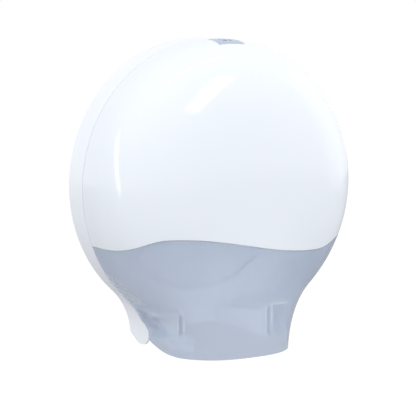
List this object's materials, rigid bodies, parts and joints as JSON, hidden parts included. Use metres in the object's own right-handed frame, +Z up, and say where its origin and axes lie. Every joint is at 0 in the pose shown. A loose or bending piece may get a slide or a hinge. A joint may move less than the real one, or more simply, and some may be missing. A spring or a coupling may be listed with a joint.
{
  "type": "jumbo toilet roll dispenser",
  "caption": "Wall-mounted round dispenser for a jumbo toilet roll, with a white cover, smoked lower window, hinged front, top lock and turning roll hub.",
  "frame": {"origin": "centre of the four wall screw holes, on the wall plane; it is also the centre of the round casing", "axes": "+X across the front to the right as the user sees it, +Y into the wall, +Z up; the front faces -Y"},
  "size_m": [0.34, 0.128, 0.365],
  "materials": {
    "shell_white": "high gloss moulded white",
    "tray_white": "satin moulded white",
    "smoked_window": "clear smoked grey, glossy",
    "guide_grey": "plain moulded",
    "hub_blue_grey": "plain moulded",
    "brake_rubber": "matt",
    "zinc": "bright zinc plate",
    "strip_steel": "satin",
    "lock_satin": "satin chrome"
  },
  "bodies": {
    "base": {"back_plate": "tray_white", "paper_guide_left": "guide_grey", "paper_guide_right": "guide_grey", "guide_screws": "zinc", "hinge_pin_left": "zinc", "hinge_pin_right": "zinc", "latch_keeper": "zinc", "keeper_screws": "zinc", "spindle": "tray_white", "spindle_screws": "zinc", "brake_washer": "brake_rubber", "hub_cap": "hub_blue_grey", "hub_screw": "zinc"},
    "hub": {"roll_hub": "hub_blue_grey"},
    "cover": {"cover_shell": "shell_white", "cover_window": "smoked_window", "window_clips": "zinc", "tear_strip_left": "strip_steel", "tear_strip_right": "strip_steel", "tear_strip_rivets": "zinc", "lock_plate": "lock_satin", "lock_housing": "lock_satin", "lock_nut": "zinc"},
    "lock": {"lock_barrel": "lock_satin", "lock_cam": "zinc", "cam_screw": "zinc"}
  },
  "joints": [
    {"name": "cover_hinge", "type": "hinge", "parent": "base", "child": "cover", "pos_m": [0, -0.0225, -0.1735], "axis": [1, 0, 0], "range_deg": [0, 90]},
    {"name": "hub_spin", "type": "hinge", "parent": "base", "child": "hub", "pos_m": [0, -0.05, -0.008], "axis": [0, -1, 0], "continuous": true},
    {"name": "lock_turn", "type": "hinge", "parent": "cover", "child": "lock", "pos_m": [0, -0.066, 0.16514], "axis": [0, -0.164, 0.9865], "range_deg": [0, 90]}
  ]
}
